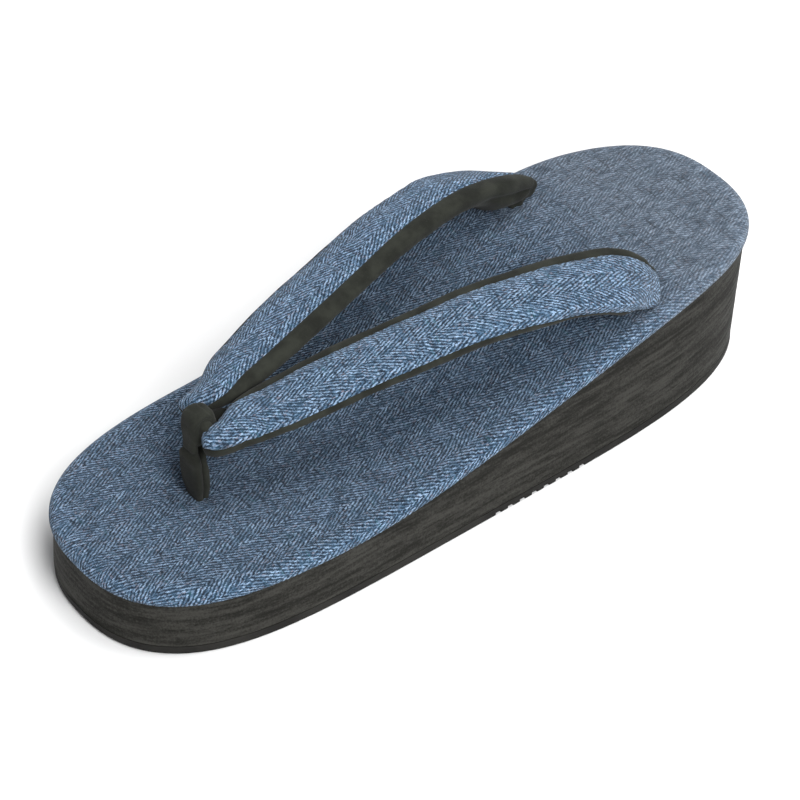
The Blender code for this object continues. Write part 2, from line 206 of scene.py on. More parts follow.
def finished_mesh(name, build):
    """Object from a bmesh, its faces turned outwards and shaded smooth."""
    bmesh.ops.recalc_face_normals(build, faces=build.faces)
    mesh = bpy.data.meshes.new(name)
    build.to_mesh(mesh)
    build.free()
    mesh.shade_smooth()
    piece = bpy.data.objects.new(name, mesh)
    bpy.context.scene.collection.objects.link(piece)
    return piece


def settled(piece):
    """Apply a piece's modifiers to its mesh."""
    graph = bpy.context.evaluated_depsgraph_get()
    mesh = bpy.data.meshes.new_from_object(piece.evaluated_get(graph))
    piece.modifiers.clear()
    piece.data = mesh


def dressed(piece, material, slot, *nodes):
    """Give a finished piece its material, its body and the solids it replaces; its slot is not
    used.
    """
    piece.data.materials.clear()
    piece.data.materials.append(material)
    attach(piece, BODY)
    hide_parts(*nodes)


class Number:
    """A shader value that takes Python's signs, each adding a Math node."""

    def __init__(self, finish, socket):
        self.finish = finish
        self.socket = socket

    def math(self, operation, *others):
        """Math node of an operation, fed with this value and the others."""
        return self.finish.math(operation, self, *others)

    def __add__(self, other):
        return self.math("ADD", other)

    def __sub__(self, other):
        return self.math("SUBTRACT", other)

    def __mul__(self, other):
        return self.math("MULTIPLY", other)

    def __truediv__(self, other):
        return self.math("DIVIDE", other)

    def __rsub__(self, other):
        return self.finish.math("SUBTRACT", other, self)

    def __rtruediv__(self, other):
        return self.finish.math("DIVIDE", other, self)

    __radd__ = __add__
    __rmul__ = __mul__


class Finish:
    """The nodes of one material."""

    def __init__(self, name, roughness, sheen=0.0, specular=0.3):
        self.material = bpy.data.materials.new(name)
        self.material.use_nodes = True
        self.tree = self.material.node_tree
        self.surface = self.tree.nodes["Principled BSDF"]
        self.surface.inputs["Roughness"].default_value = roughness
        self.surface.inputs["Specular IOR Level"].default_value = specular
        self.surface.inputs["Sheen Weight"].default_value = sheen
        self.surface.inputs["Sheen Roughness"].default_value = 0.5

    def feed(self, socket, value):
        """Link a shader value to a socket, or set the socket to a colour or a number."""
        if isinstance(value, Number):
            self.tree.links.new(value.socket, socket)
        elif isinstance(value, tuple):
            socket.default_value = (*value, 1.0)
        else:
            socket.default_value = value

    def node(self, kind, settings=None, sockets=None, output=0):
        """Add a node: its settings, then its sockets' values or links by name or place."""
        made = self.tree.nodes.new(kind)
        for key, value in (settings or {}).items():
            setattr(made, key, value)
        for key, value in (sockets or {}).items():
            self.feed(made.inputs[key], value)
        if isinstance(output, tuple):
            return [Number(self, made.outputs[index]) for index in output]
        return Number(self, made.outputs[output])

    def math(self, operation, *values):
        """Math node of an operation on shader values and numbers."""
        return self.node("ShaderNodeMath", {"operation": operation}, dict(enumerate(values)))

    def here(self):
        """Place of the shaded point on the object."""
        return self.node("ShaderNodeTexCoord", None, None, 3)

    def parts(self, vector):
        """The three numbers of a vector."""
        return self.node("ShaderNodeSeparateXYZ", None, {0: vector}, (0, 1, 2))

    def blend(self, share, first, second):
        """Mix of two colours."""
        settings = {"data_type": "RGBA", "clamp_factor": True}
        return self.node("ShaderNodeMix", settings, {0: share, 6: first, 7: second}, 2)

    def cloud(self, vector, scale, detail=2.0, roughness=0.5):
        """Noise around one half."""
        sockets = {"Vector": vector, "Scale": scale, "Detail": detail, "Roughness": roughness}
        return self.node("ShaderNodeTexNoise", None, sockets)

    def point(self, x, y, z=0.0):
        """Vector of three numbers."""
        return self.node("ShaderNodeCombineXYZ", None, {0: x, 1: y, 2: z})

    def ramp(self, value, low, high):
        """Smooth step from 0 at low to 1 at high."""
        settings = {"interpolation_type": "SMOOTHSTEP"}
        return self.node("ShaderNodeMapRange", settings, {0: value, 1: low, 2: high})

    def relief(self, height, distance, strength, under=None):
        """Bumped normal from a height, over another one if it is given."""
        sockets = {"Height": height, "Distance": distance, "Strength": strength}
        if under:
            sockets["Normal"] = under
        return self.node("ShaderNodeBump", None, sockets)

    def done(self, colour, normal=None, roughness=None):
        """The material, once its colour, relief and roughness are linked."""
        self.feed(self.surface.inputs["Base Color"], colour)
        if normal:
            self.feed(self.surface.inputs["Normal"], normal)
        if roughness:
            self.feed(self.surface.inputs["Roughness"], roughness)
        return self.material


def rubber_finish():
    """Matt black rubber with a fine moulded grain and pale dust in patches."""
    finish = Finish("outsole_rubber", 0.8, 0.0, 0.15)
    place = finish.here()
    grain = finish.cloud(place, 1800.0, 3.0)
    patches = finish.cloud(place, 60.0, 3.0)
    colour = finish.blend(finish.ramp(patches, 0.35, 0.75), RUBBER_BLACK, RUBBER_DUST)
    return finish.done(colour, finish.relief(grain, 0.00008, 0.6), grain * 0.2 + 0.68)


def tread_tree(cutter_name):
    """Geometry Nodes: a line of bars cut out of the plate, with the material set."""
    tree = bpy.data.node_groups.new(cutter_name, "GeometryNodeTree")
    for label, kind in (("Geometry", "NodeSocketGeometry"), ("First", "NodeSocketVector"),
                        ("Bar", "NodeSocketVector"), ("Pitch", "NodeSocketFloat"),
                        ("Count", "NodeSocketInt"), ("Material", "NodeSocketMaterial")):
        tree.interface.new_socket(label, in_out="INPUT", socket_type=kind)
    tree.interface.new_socket("Geometry", in_out="OUTPUT", socket_type="NodeSocketGeometry")
    given = tree.nodes.new("NodeGroupInput")
    result = tree.nodes.new("NodeGroupOutput")
    step = tree.nodes.new("ShaderNodeCombineXYZ")
    line = tree.nodes.new("GeometryNodeMeshLine")
    bar = tree.nodes.new("GeometryNodeMeshCube")
    spread = tree.nodes.new("GeometryNodeInstanceOnPoints")
    real = tree.nodes.new("GeometryNodeRealizeInstances")
    cut = tree.nodes.new("GeometryNodeMeshBoolean")
    paint = tree.nodes.new("GeometryNodeSetMaterial")
    line.mode = "OFFSET"
    cut.operation = "DIFFERENCE"
    cut.solver = "EXACT"
    links = (
        (given.outputs["Pitch"], step.inputs["Y"]),
        (given.outputs["Count"], line.inputs["Count"]),
        (given.outputs["First"], line.inputs["Start Location"]),
        (step.outputs[0], line.inputs["Offset"]),
        (given.outputs["Bar"], bar.inputs["Size"]),
        (line.outputs[0], spread.inputs["Points"]),
        (bar.outputs["Mesh"], spread.inputs["Instance"]),
        (spread.outputs[0], real.inputs[0]),
        (given.outputs["Geometry"], cut.inputs["Mesh 1"]),
        (real.outputs[0], cut.inputs["Mesh 2"]),
        (cut.outputs["Mesh"], paint.inputs["Geometry"]),
        (given.outputs["Material"], paint.inputs["Material"]),
        (paint.outputs[0], result.inputs[0]),
    )
    for source, target in links:
        tree.links.new(source, target)
    return tree


def with_tree(piece, tree, values):
    """Add a Geometry Nodes modifier with its inputs set by name, and apply it."""
    modifier = piece.modifiers.new(tree.name, "NODES")
    modifier.node_group = tree
    for item in tree.interface.items_tree:
        if item.in_out == "INPUT" and item.name in values:
            modifier[item.identifier] = values[item.name]
    settled(piece)


rings = []
for inset, lift in OUTSOLE_PROFILE:
    rings.append(plan_ring(
        OVERHANG + inset, lambda y, lift=lift: floor_height(y) + lift, HEEL_RAKE, TOE_FLARE,
    ))
outsole = stacked("outsole_plate", rings)
outsole_rubber = rubber_finish()
tread = tread_tree("tread_grooves")
for row in TREAD_FIELDS:
    field = dict(zip(TREAD_COLUMNS, row))
    with_tree(outsole, tread, {
        "First": (0.0, field["first"], 0.0),
        "Bar": (field["width"], GROOVE_WIDTH, 2 * GROOVE_DEPTH),
        "Pitch": field["pitch"],
        "Count": field["count"],
        "Material": outsole_rubber,
    })
outsole.data.set_sharp_from_angle(angle=OUTSOLE_CREASE)
dressed(outsole, outsole_rubber, "outsole", "outsole")

# Sole: one wedge of light black foam, ground to shape and painted on its side.
# The grinding leaves fine streaks along the side, and the strap's holes go down into it.
TOE_EDGE = 0.0194
HEEL_EDGE = 0.0408
RAMP_START = -0.225
RAMP_END = 0.375
FOOTBED_THICKNESS = 0.0046
ROOT_DEPTH = 0.012
ROOT_RADIUS = 0.0036
TIP_Y = -0.0778
REACH = 0.1451
SPREAD = 0.0320
ROOT_Y = TIP_Y + 0.972 * REACH
ROOT_X = 0.9375 * SPREAD
THONG_Y = -0.0776
THONG_WIDTH = 0.0070
THONG_THICKNESS = 0.0024
FRONT_FOOT = (0.98, 0.98)
REAR_FOOT = (0.95, 0.95)
SLOT_SHARE = 0.9
HOLE_SHARE = 0.8
HOLE_SEGMENTS = 32
SIDE_ROWS = 7
SOLE_CREASE = math.radians(50.0)
FOAM_BLACK = (0.009, 0.0088, 0.0072)
FOAM_BLOOM = (0.038, 0.0370, 0.0325)


def edge_height(y):
    """Height of the line where the footbed meets the sole's side."""
    share = min(max((y / LENGTH - RAMP_START) / (RAMP_END - RAMP_START), 0.0), 1.0)
    return TOE_EDGE + (HEEL_EDGE - TOE_EDGE) * share * share * (3.0 - 2.0 * share)


def footbed_top(y):
    """Height of the footbed's flat top."""
    return edge_height(y) + FOOTBED_THICKNESS


def cut_holes(piece):
    """Cut the front slot and the two rear holes, each a little tighter than what goes in."""
    deep = 2 * ROOT_DEPTH + 2 * GAP
    front, rear = (THONG_THICKNESS * foot[1] for foot in (FRONT_FOOT, REAR_FOOT))
    size = (THONG_WIDTH * REAR_FOOT[0] * SLOT_SHARE, (front + rear) * SLOT_SHARE, deep)
    middle = (0.0, THONG_Y + (rear - front) / 2, footbed_top(THONG_Y))
    build = bmesh.new()
    bmesh.ops.create_cube(build, size=1.0)
    bmesh.ops.scale(build, vec=size, verts=build.verts)
    bmesh.ops.translate(build, vec=middle, verts=build.verts)
    tools = [finished_mesh("slot_tool", build)]
    radius = ROOT_RADIUS * HOLE_SHARE
    for side in (1, -1):
        middle = (side * ROOT_X, ROOT_Y, footbed_top(ROOT_Y))
        build = bmesh.new()
        bmesh.ops.create_cone(
            build, cap_ends=True, segments=HOLE_SEGMENTS,
            radius1=radius, radius2=radius, depth=deep,
        )
        bmesh.ops.translate(build, vec=middle, verts=build.verts)
        tools.append(finished_mesh("hole_tool", build))
    for tool in tools:
        modifier = piece.modifiers.new("hole", "BOOLEAN")
        modifier.operation = "DIFFERENCE"
        modifier.object = tool
    settled(piece)
    for tool in tools:
        bpy.data.objects.remove(tool)
    return piece


def foam_finish():
    """Painted foam side: near black, with ground streaks along it and a light rubbed bloom."""
    finish = Finish("sole_foam", 0.75, 0.0, 0.12)
    place = finish.here()
    x, y, z = finish.parts(place)
    run = finish.point(x * 70.0, y * 70.0, z * 620.0)
    wide = finish.point(x * 14.0, y * 14.0, z * 200.0)
    fine = finish.cloud(run, 1.0, 4.0, 0.6)
    broad = finish.cloud(wide, 1.0, 2.0)
    grain = finish.cloud(place, 1500.0, 3.0, 0.7)
    streak = finish.ramp(fine * 0.45 + broad * 0.2 + grain * 0.35, 0.41, 0.61)
    colour = finish.blend(streak, FOAM_BLACK, FOAM_BLOOM)
    first = finish.relief(fine, 0.00025, 0.5)
    return finish.done(colour, finish.relief(grain, 0.0001, 0.4, first), streak * -0.1 + 0.74)


rings = []
for row in range(SIDE_ROWS + 1):
    share = row / SIDE_ROWS

    def side_height(y, share=share):
        low = floor_height(y) + OUTSOLE_THICKNESS + GAP
        return low + (edge_height(y) - GAP - low) * share

    rake, flare = HEEL_RAKE * (1 - share), TOE_FLARE * (1 - share)
    rings.append(plan_ring(OVERHANG, side_height, rake, flare))
sole = cut_holes(stacked("platform", rings))
sole.data.set_sharp_from_angle(angle=SOLE_CREASE)
dressed(sole, foam_finish(), "sole", "sole")

# Footbed: a thin foam pad under herringbone cloth of blue and navy yarns.
# The cloth is stretched over the pad, rolled round its edge and glued under it.
FOOTBED_DOME = 0.0009
FOOTBED_ROLL = 0.0050
FOOTBED_TUCK = 0.0007
UNDERLAP = 0.0015
UNDER_WEAVE = (-0.0075, -0.0060)
ROLL_STEPS = 10
TOP_RINGS = 30
DOME_FLAT = 0.7
FOOTBED_CREASE = math.radians(60.0)
DIMPLE_COLUMNS = ("x", "y", "half_x", "half_y", "depth", "reach")
DIMPLES = (
    (0.0, THONG_Y, 0.0034, 0.0024, 0.0006, 0.0016),
    (ROOT_X, ROOT_Y, 0.0030, 0.0030, 0.0012, 0.0034),
    (-ROOT_X, ROOT_Y, 0.0030, 0.0030, 0.0012, 0.0034),
)
COLUMN = 5.6
TWILL_RISE = 1.88
TWILL_PITCH = 2.07
WARP_THREAD = 0.275
WEFT_THREAD = 0.517
NAVY = (0.005, 0.011, 0.021)
DEEP_BLUE = (0.014, 0.033, 0.055)
MID_BLUE = (0.062, 0.112, 0.180)
PALE_BLUE = (0.370, 0.500, 0.680)
ROSE_GREY = (0.230, 0.190, 0.210)
TEAL = (0.020, 0.072, 0.085)
WANDER_ACROSS = 1.6
WANDER_ALONG = 2.0
TWILL_JITTER = 1.1
SPECK_LENGTH = 0.7
GREYING_START = 0.040
GREYING_END = 0.090


def herringbone_finish(name, shift, painted_light_level, heel_greying=0.0, rim_highlight=0.0):
    """Twill lines that turn back at each column, of yarns that change colour along their run."""
    finish = Finish(name, 0.85, 0.12)
    place = finish.node("ShaderNodeUVMap", {"uv_map": "weave"})
    flat_across, flat_along = finish.parts(place)[:2]
    wander = finish.cloud(finish.point(flat_across * 0.05, flat_along * 0.05), 1.0, 2.0) - 0.5
    across = flat_across + wander * WANDER_ACROSS + shift * COLUMN
    along = flat_along + wander * WANDER_ALONG
    warp = (across / WARP_THREAD).math("FLOOR")
    weft = (along / WEFT_THREAD).math("FLOOR")
    centre = (warp + 0.5) * WARP_THREAD
    turn = centre.math("PINGPONG", COLUMN)
    odd = (centre / COLUMN).math("FLOOR").math("FLOORED_MODULO", 2.0)
    jitter = finish.cloud(finish.point(across * 0.8, along * 0.55, 5.0), 1.0, 3.0, 0.6) - 0.5
    phase = (along - turn * TWILL_RISE) / TWILL_PITCH + odd * 0.5 + jitter * TWILL_JITTER
    wave = (phase * (2.0 * math.pi)).math("SINE")
    cell = finish.point(warp, (along / SPECK_LENGTH).math("FLOOR"), 1.0)
    speck = finish.node("ShaderNodeTexWhiteNoise", {"noise_dimensions": "3D"}, {"Vector": cell})
    knots = finish.cloud(finish.point(across * 1.5, along * 1.1, 9.0), 1.0, 3.0, 0.75) - 0.5
    lift = finish.ramp(wave * 0.75 + (speck - 0.5) * 1.2 + knots * 3.2, -0.45, 0.85)
    warp_round = ((across / WARP_THREAD).math("FRACT") * math.pi).math("SINE")
    weft_round = ((along / WEFT_THREAD).math("FRACT") * math.pi).math("SINE")
    warp_tone = finish.cloud(finish.point(warp * 0.37, along * 0.16, 3.0), 1.0, 3.0, 0.8)
    weft_tone = finish.cloud(finish.point(across * 0.11, weft * 0.41, 7.0), 1.0, 2.0, 0.7)
    pale = finish.blend(finish.ramp(warp_tone, 0.38, 0.66), MID_BLUE, PALE_BLUE)
    pale = finish.blend(finish.ramp(speck, 0.93, 0.98) * 0.6, pale, ROSE_GREY)
    dark = finish.blend(finish.ramp(weft_tone, 0.40, 0.66), NAVY, DEEP_BLUE)
    dark = finish.blend(finish.ramp(weft_tone, 0.60, 0.78), dark, TEAL)
    x, y = finish.parts(finish.here())[:2]
    # Toward the heel the cloth turns greyer, lower in contrast and a little darker.
    greying = finish.ramp(y, GREYING_START, GREYING_END) * heel_greying
    evened_lift = lift + (0.5 - lift) * greying * 1.7
    colour = finish.blend(evened_lift, dark, pale)
    slub = finish.cloud(finish.point(across * 0.10, along * 1.1, 11.0), 1.0, 3.0, 0.6)
    colour = finish.blend(finish.ramp(slub, 0.52, 0.72) * 0.5, colour, MID_BLUE)
    colour = finish.blend(finish.ramp(slub, 0.48, 0.30) * 0.65, colour, NAVY)
    # The lighter band toward the rolled edge is a painted highlight.
    rolled = (x / (BALL_WIDTH / 2)).math("ABSOLUTE").math("POWER", TOE_POWERS[1])
    rolled = rolled + (y / (LENGTH / 2)).math("ABSOLUTE").math("POWER", TOE_POWERS[0])
    # The value's level is painted light: one cloth is set darker on the footbed and lighter on the
    # strap.
    light = finish.ramp(rolled, 0.70, 0.95) * rim_highlight + (painted_light_level - greying * 0.15)
    tones = {"Color": colour, "Saturation": 1.12 - greying, "Value": light}
    colour = finish.node("ShaderNodeHueSaturation", None, tones)
    height = lift * warp_round + (1.0 - lift) * weft_round * 0.6
    broad = finish.relief(slub, 0.0002, 0.35)
    return finish.done(colour, finish.relief(height, 0.00022, 0.8, broad))


def bell(away, spread):
    """Share that falls smoothly from 1 at no distance, over a spread."""
    return math.exp(-(away / spread) ** 2)


def dimple(x, y):
    """How far the cloth is drawn down beside the three holes."""
    drop = 0.0
    for row in DIMPLES:
        hole = dict(zip(DIMPLE_COLUMNS, row))
        beside = max(abs(x - hole["x"]) - hole["half_x"], 0.0)
        behind = max(abs(y - hole["y"]) - hole["half_y"], 0.0)
        drop += hole["depth"] * bell(math.hypot(beside, behind), hole["reach"])
    return drop


rings = [plan_ring(inset, edge_height) for inset in (FOOTBED_TUCK + UNDERLAP, FOOTBED_TUCK)]
uvs = [plan_ring(inset, edge_height) for inset in UNDER_WEAVE]
roll_rise = FOOTBED_THICKNESS - FOOTBED_DOME - FOOTBED_TUCK
for step in range(ROLL_STEPS + 1):
    angle = math.pi / 2 * step / ROLL_STEPS
    inset = FOOTBED_ROLL * (1.0 - math.cos(angle))
    rise = FOOTBED_TUCK + roll_rise * math.sin(angle)
    rings.append(plan_ring(inset, lambda y, rise=rise: edge_height(y) + rise))
    arc = (math.pi / 2 - angle) * (FOOTBED_ROLL + roll_rise) / 2
    uvs.append(plan_ring(FOOTBED_ROLL - arc, edge_height))
for step in range(1, TOP_RINGS):
    share = step / TOP_RINGS
    inset = FOOTBED_ROLL + share * (BALL_WIDTH / 2 - FOOTBED_ROLL)
    climb = math.sin(min(share, DOME_FLAT) * math.pi / (2 * DOME_FLAT))
    rise = FOOTBED_THICKNESS - FOOTBED_DOME * (1.0 - climb)
    rings.append(plan_ring(inset, lambda y, rise=rise: edge_height(y) + rise))
    uvs.append(plan_ring(inset, edge_height))
for ring in rings[3:]:
    for point in ring:
        point.z -= dimple(point.x, point.y)
footbed = cut_holes(stacked("footbed_pad", rings, uvs))
footbed.data.set_sharp_from_angle(angle=FOOTBED_CREASE)
# Footbed cloth: lower painted light level, with a painted highlight along its rolled edge.
footbed_cloth = herringbone_finish("footbed_cloth", 1.5, 0.90, heel_greying=0.30, rim_highlight=0.30)
dressed(footbed, footbed_cloth, "footbed", "footbed")

# Strap: two padded arms of the same cloth, sewn to a lining along both edges and stuffed.
# They meet at the front, where a short core joins them inside the thong's loop.
RISE = 0.0310
STRAP_WIDTH = 0.0218
CROWN = 0.0031
BELLY = 0.0036
LINING_THICKNESS = 0.0010
INNER_SEAM = {1: math.radians(46.0), -1: math.radians(54.0)}
OUTER_SEAM = math.radians(17.0)
REAR_SEAM = math.radians(-10.0)
FRONT_SEAM = math.radians(-8.0)
FRONT_TRIM = {1: 0.002, -1: 0.030}
TIP_SWELL = {1: 0.0019, -1: 0.0}
TIP_FADE = 0.08
TIP_RISE = 0.8
BELLY_SAG = 0.0024
SAG_IN = (0.42, 0.68)
SAG_OUT = (0.95, 1.0)
NECK_SWELL = 0.0026
SWELL_AT = 0.91
SWELL_SPREAD = 0.045
SECTION_POWER = 0.85
OUTER_SLIDE = (0.45, 0.80)
INNER_SLIDE = (0.02, 0.15)
FOLD_DEPTH = 0.0018
FOLD_ANGLE = math.pi * 1.16
FOLD_SPREAD = 0.16
FOLD_IN = (0.80, 0.92)
FOLD_OUT = (0.955, 0.995)
FOLD_EASE = 0.8
GATHER_DEPTH = 0.00025
GATHER_REACH = 0.16
STUFFING_DEPTH = 0.00026
PINCH_DEPTH = 0.00022
PINCH_REACH = 0.06
SEAM_DEPTH = 0.0005
SEAM_REACH = 0.05
FRONT_CAP = 0.0014
REAR_CAP = 0.0028
CAP_TURN = math.radians(84.0)
SLOPE_STEP = 0.004
STATIONS = 170
CAP_STEPS = 7
CLOTH_STEPS = 40
HIDDEN_STEPS = 20
CLOTH_MASS = 0.15
CLOTH_PRESSURE = 900.0
CLOTH_SLACK = 0.018
CLOTH_LIMIT = 0.0005
CLOTH_FRAMES = 12
CLOTH_QUALITY = 6
ARM_COLUMNS = ("along", "side", "lift", "width", "roll", "crown", "sag")
ARM_ROWS = (
    (0.000, 0.183, 0.768, 0.19, 12.0, 0.60, 0.000),
    (0.015, 0.218, 0.774, 0.31, 13.0, 0.75, 0.000),
    (0.050, 0.255, 0.800, 0.43, 14.0, 0.88, 0.000),
    (0.095, 0.258, 0.835, 0.69, 12.0, 0.96, 0.000),
    (0.169, 0.325, 0.905, 0.90, 6.0, 1.00, 0.000),
    (0.337, 0.482, 0.992, 1.00, 4.0, 1.00, 0.000),
    (0.545, 0.682, 0.957, 1.00, 6.0, 1.00, 0.000),
    (0.743, 0.866, 0.764, 1.00, 10.0, 1.00, 0.010),
    (0.881, 0.953, 0.484, 1.01, 21.0, 1.00, 0.050),
    (0.941, 0.972, 0.310, 0.90, 33.0, 0.96, 0.085),
    (0.980, 0.973, 0.132, 0.74, 44.0, 0.88, 0.070),
    (1.000, 0.959, 0.045, 0.59, 50.0, 0.76, 0.045),
)


def shared_slope(first, second, column, step):
    """Slope shared by two neighbouring spans, level at a peak."""
    if first is second:
        return step
    other = (second[column] - first[column]) / (second[0] - first[0])
    if other * step <= 0.0:
        return 0.0
    return 2.0 * other * step / (other + step)


def follow(rows, position):
    """Smooth values of a table's columns at a position in its first column."""
    index = 0
    while index < len(rows) - 2 and position > rows[index + 1][0]:
        index += 1
    start, end = rows[index], rows[index + 1]
    before, after = rows[max(index - 1, 0)], rows[min(index + 2, len(rows) - 1)]
    span = end[0] - start[0]
    t = (position - start[0]) / span
    values = []
    for column in range(1, len(start)):
        step = (end[column] - start[column]) / span
        values.append(
            (2 * t**3 - 3 * t**2 + 1) * start[column]
            + (t**3 - 2 * t**2 + t) * span * shared_slope(before, start, column, step)
            + (3 * t**2 - 2 * t**3) * end[column]
            + (t**3 - t**2) * span * shared_slope(end, after, column, step)
        )
    return values


def arm_station(share, side):
    """Centre, width, roll and crown of a strap arm, side 1 on the right and -1 on the left."""
    values = dict(zip(ARM_COLUMNS[1:], follow(ARM_ROWS, share)))
    y = TIP_Y + share * REACH
    lift = values["lift"] - (values["sag"] if side < 0 else 0.0)
    fuller = TIP_SWELL[side] * bell(share, TIP_FADE)
    centre = Vector((values["side"] * SPREAD + fuller / 2, y, footbed_top(y) + lift * RISE))
    width = values["width"] * STRAP_WIDTH + fuller
    crown = values["crown"] * CROWN + fuller * TIP_RISE
    return centre, width, values["roll"], crown


def eased(share, start, end):
    """Soft step from 0 at the start to 1 at the end."""
    climb = min(max((share - start) / (end - start), 0.0), 1.0)
    return climb * climb * (3.0 - 2.0 * climb)


def arm_frame(share, side):
    """Centre, the directions along, outward and up from the chord, width and crown."""
    centre, width, roll, crown = arm_station(share, side)
    ahead = arm_station(min(share + SLOPE_STEP, 1.0), side)[0]
    behind = arm_station(max(share - SLOPE_STEP, 0.0), side)[0]
    tangent = (ahead - behind).normalized()
    level = tangent.cross(Vector((0.0, 0.0, 1.0))).normalized()
    up = level.cross(tangent)
    turn = math.radians(roll)
    outward = level * math.cos(turn) - up * math.sin(turn)
    normal = up * math.cos(turn) + level * math.sin(turn)
    return centre, tangent, outward, normal, width, crown


def belly(share):
    """Depth below the chord, deeper where the stuffing sinks toward the rear."""
    gathered = NECK_SWELL * bell(share - SWELL_AT, SWELL_SPREAD)
    return BELLY + gathered + BELLY_SAG * (eased(share, *SAG_IN) - eased(share, *SAG_OUT))


def oval_point(share, width, crown, angle, inset):
    """Point of the padded section, with the crown above its chord and the belly below."""
    across = (width / 2 - inset) * math.cos(angle)
    rise = abs(math.sin(angle)) ** SECTION_POWER
    if math.sin(angle) >= 0.0:
        return across, (crown - inset) * rise
    return across, -(belly(share) - inset) * rise


def seams(share, side):
    """Angles of an arm's outer and inner seams, which slide round it toward its ends."""
    outer = OUTER_SEAM + (REAR_SEAM - OUTER_SEAM) * eased(share, *OUTER_SLIDE)
    inner = FRONT_SEAM + (INNER_SEAM[side] - FRONT_SEAM) * eased(share, *INNER_SLIDE)
    return outer, math.pi - inner


def seam_roll(share, side, angle):
    """How far round the section a point lies from the nearer seam."""
    outer, inner = seams(share, side)
    return min(abs(angle - outer) * 0.5, abs(inner - angle))


def rear_fold(share, angle):
    """Deep fold along the underside, where the arm is drawn into its hole."""
    near_end = eased(share, *FOLD_IN) * (1.0 - FOLD_EASE * eased(share, *FOLD_OUT))
    return FOLD_DEPTH * near_end * bell(angle - FOLD_ANGLE, FOLD_SPREAD)


def pucker(share, side, angle, length):
    """Gathers of the cloth at its seams and at the thong, over unevenly packed stuffing."""
    if angle > seams(share, side)[1] + 0.01:
        return -rear_fold(share, angle)
    away = seam_roll(share, side, angle)
    gather = noise.noise(Vector((length * 330.0, round(angle) * 4.0 + side, 2.0)))
    stuffing = noise.noise(Vector((length * 70.0, angle * 0.9, side * 5.0)))
    pinch = bell(share, PINCH_REACH) * math.sin(angle * 11.0 + side)
    ripple = GATHER_DEPTH * gather * bell(away, GATHER_REACH)
    drawn = SEAM_DEPTH * math.exp(-away / SEAM_REACH)
    return ripple + STUFFING_DEPTH * stuffing + PINCH_DEPTH * pinch - drawn


def arm_stations(side):
    """Rows of share, push along the arm and scale: a rounded tip, the arm, a rounded tip."""
    first = FRONT_TRIM[side]
    rows = []
    for step in range(CAP_STEPS):
        turn = CAP_TURN * (1.0 - step / CAP_STEPS)
        rows.append((first, -FRONT_CAP * math.sin(turn), math.cos(turn)))
    for step in range(STATIONS + 1):
        along = 0.5 - 0.5 * math.cos(math.pi * step / STATIONS)
        rows.append((first + (1.0 - first) * along, 0.0, 1.0))
    for step in range(CAP_STEPS):
        turn = CAP_TURN * (step + 1) / CAP_STEPS
        rows.append((1.0, REAR_CAP * math.sin(turn), math.cos(turn)))
    return rows


def closed_skin(build, loops):
    """Faces from each loop to the next, and one across each end."""
    wall(build, loops)
    build.faces.new(loops[0])
    build.faces.new(loops[-1])


def arm_piece(name, side, profile, depth):
    """Skin an arm from a profile of (angle, inset) points, with its weave's UV in millimetres."""
    build = bmesh.new()
    layer = build.loops.layers.uv.new("weave")
    loops = []
    place = {}
    length = 0.0
    last = None
    for share, push, scale in arm_stations(side):
        centre, tangent, outward, normal, width, crown = arm_frame(share, side)
        centre = centre + tangent * push
        if last is not None:
            length += (centre - last).length
        last = centre
        loop = []
        flat = []
        for angle, inset in profile(share, side):
            lift = depth(share, side, angle, length)
            across, rise = oval_point(share, width, crown, angle, inset - lift)
            point = centre + (outward * across + normal * rise) * scale
            loop.append(build.verts.new((point.x * side, point.y, point.z)))
            flat.append((across * scale, rise * scale))
        runs = [0.0]
        for one, two in zip(flat, flat[1:]):
            runs.append(runs[-1] + math.dist(one, two))
        half = CLOTH_STEPS // 2
        for vert, run in zip(loop, runs):
            place[vert] = ((run - runs[half]) * MILLIMETRES * side, length * MILLIMETRES)
        loops.append(loop)
    closed_skin(build, loops)
    for face in build.faces:
        for corner in face.loops:
            corner[layer].uv = place[corner.vert]
    return finished_mesh(name, build)


def cloth_profile(share, side):
    """The cloth over the top from seam to seam, then the hidden side under it."""
    points = []
    start, end = seams(share, side)
    for step in range(CLOTH_STEPS + 1):
        points.append((start + (end - start) * step / CLOTH_STEPS, 0.0))
    for step in range(1, HIDDEN_STEPS):
        angle = end + (2 * math.pi + start - end) * step / HIDDEN_STEPS
        points.append((angle, LINING_THICKNESS + GAP))
    return points


def stuffed(piece):
    """Let the cloth swell over its stuffing in a short simulation, held along both seams."""
    count = CLOTH_STEPS + HIDDEN_STEPS
    held = []
    for vert in piece.data.vertices:
        station, place = divmod(vert.index, count)
        if not (2 <= place <= CLOTH_STEPS - 2 and CAP_STEPS <= station <= CAP_STEPS + STATIONS):
            held.append(vert.index)
    pins = piece.vertex_groups.new(name="seams")
    pins.add(held, 1.0, "REPLACE")
    cloth = piece.modifiers.new("stuffing", "CLOTH")
    cloth.settings.quality = CLOTH_QUALITY
    cloth.settings.mass = CLOTH_MASS
    cloth.settings.use_pressure = True
    cloth.settings.uniform_pressure_force = CLOTH_PRESSURE
    cloth.settings.vertex_group_mass = pins.name
    cloth.settings.shrink_min = -CLOTH_SLACK
    cloth.settings.effector_weights.gravity = 0.0
    for frame in range(1, CLOTH_FRAMES + 1):
        bpy.context.scene.frame_set(frame)
    graph = bpy.context.evaluated_depsgraph_get()
    settled_at = [vert.co.copy() for vert in piece.evaluated_get(graph).data.vertices]
    piece.modifiers.remove(cloth)
    piece.vertex_groups.remove(pins)
    bpy.context.scene.frame_set(1)
    for vert, place in zip(piece.data.vertices, settled_at):
        move = place - vert.co
        vert.co += move * min(1.0, CLOTH_LIMIT / max(move.length, GAP / 100))
    return piece


